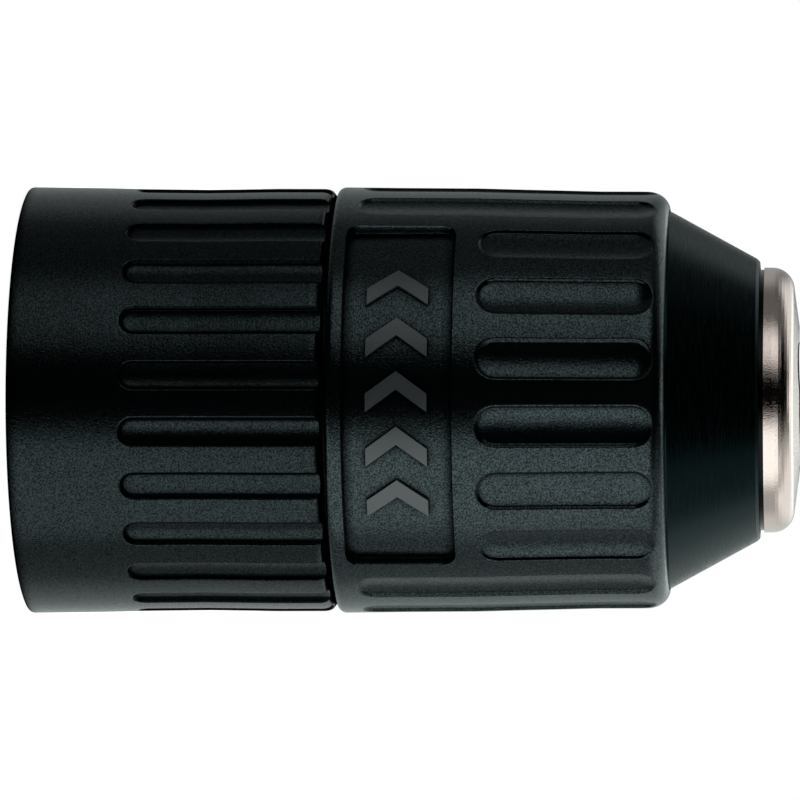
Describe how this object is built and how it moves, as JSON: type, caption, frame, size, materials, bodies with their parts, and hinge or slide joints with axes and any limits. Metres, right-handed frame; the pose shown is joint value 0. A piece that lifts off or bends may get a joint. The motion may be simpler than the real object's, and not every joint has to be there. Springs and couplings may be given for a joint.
{
  "type": "drill chuck",
  "caption": "Keyless two-sleeve drill chuck: black ribbed grips on a steel body with a bright nickel nose and self-centring jaws behind it.",
  "frame": {"origin": "centre of the plane of the rear rim, on the chuck's axis", "axes": "+Z along the chuck's axis towards the nose; -Y through the middle of the recess on the front sleeve"},
  "size_m": [0.043, 0.043, 0.0772],
  "materials": {
    "nickel": "bright nickel plate over turned steel",
    "bearing_steel": "ground",
    "hardened_steel": "hardened, tumbled",
    "black_plastic": "black glass-filled nylon with a fine eroded grain",
    "bush_plastic": "plain moulded",
    "plate_steel": "zinc-phosphated",
    "spring_steel": "spring temper, oiled",
    "black_steel": "turned and blackened",
    "nut_steel": "machined",
    "grey_ink": "grey, printed on raised marks",
    "cage_brass": "pressed",
    "ball_steel": "polished",
    "jaw_steel": "ground"
  },
  "bodies": {
    "body": {"chuck_body": "nickel", "rear_bearing_race": "bearing_steel", "ratchet_ring": "hardened_steel", "rear_sleeve": "black_plastic", "rear_hub_bush": "bush_plastic", "back_plate": "plate_steel", "rear_circlip": "spring_steel"},
    "front_sleeve": {"front_grip": "black_plastic", "steel_core": "black_steel", "nut_half_a": "nut_steel", "nut_half_b": "nut_steel", "front_bearing_race": "bearing_steel", "drive_keys": "hardened_steel", "detent_spring": "spring_steel", "grip_marks": "grey_ink"},
    "cage": {"ball_cage": "cage_brass", "bearing_balls": "ball_steel"},
    "jaw_a": {"jaw_1": "jaw_steel"},
    "jaw_b": {"jaw_2": "jaw_steel"},
    "jaw_c": {"jaw_3": "jaw_steel"}
  },
  "joints": [
    {"name": "sleeve_turn", "type": "hinge", "parent": "body", "child": "front_sleeve", "pos_m": [0, 0, 0.048], "axis": [0, 0, -1], "range_deg": [0, 3888]},
    {"name": "cage_turn", "type": "hinge", "parent": "body", "child": "cage", "pos_m": [0, 0, 0.0529], "axis": [0, 0, -1], "range_deg": [0, 1946]},
    {"name": "jaw_slide_a", "type": "slide", "parent": "body", "child": "jaw_a", "axis": [-0.2672, 0, 0.9636], "range_m": [0, 0.02243]},
    {"name": "jaw_slide_b", "type": "slide", "parent": "body", "child": "jaw_b", "axis": [0.1336, -0.2314, 0.9636], "range_m": [0, 0.02243]},
    {"name": "jaw_slide_c", "type": "slide", "parent": "body", "child": "jaw_c", "axis": [0.1336, 0.2314, 0.9636], "range_m": [0, 0.02243]}
  ],
  "couplings": [
    {"joint": "cage_turn", "follows": "sleeve_turn", "ratio": 0.5},
    {"joint": "jaw_slide_a", "follows": "sleeve_turn", "m_per_rad": 0.00033032},
    {"joint": "jaw_slide_b", "follows": "sleeve_turn", "m_per_rad": 0.00033032},
    {"joint": "jaw_slide_c", "follows": "sleeve_turn", "m_per_rad": 0.00033032}
  ]
}
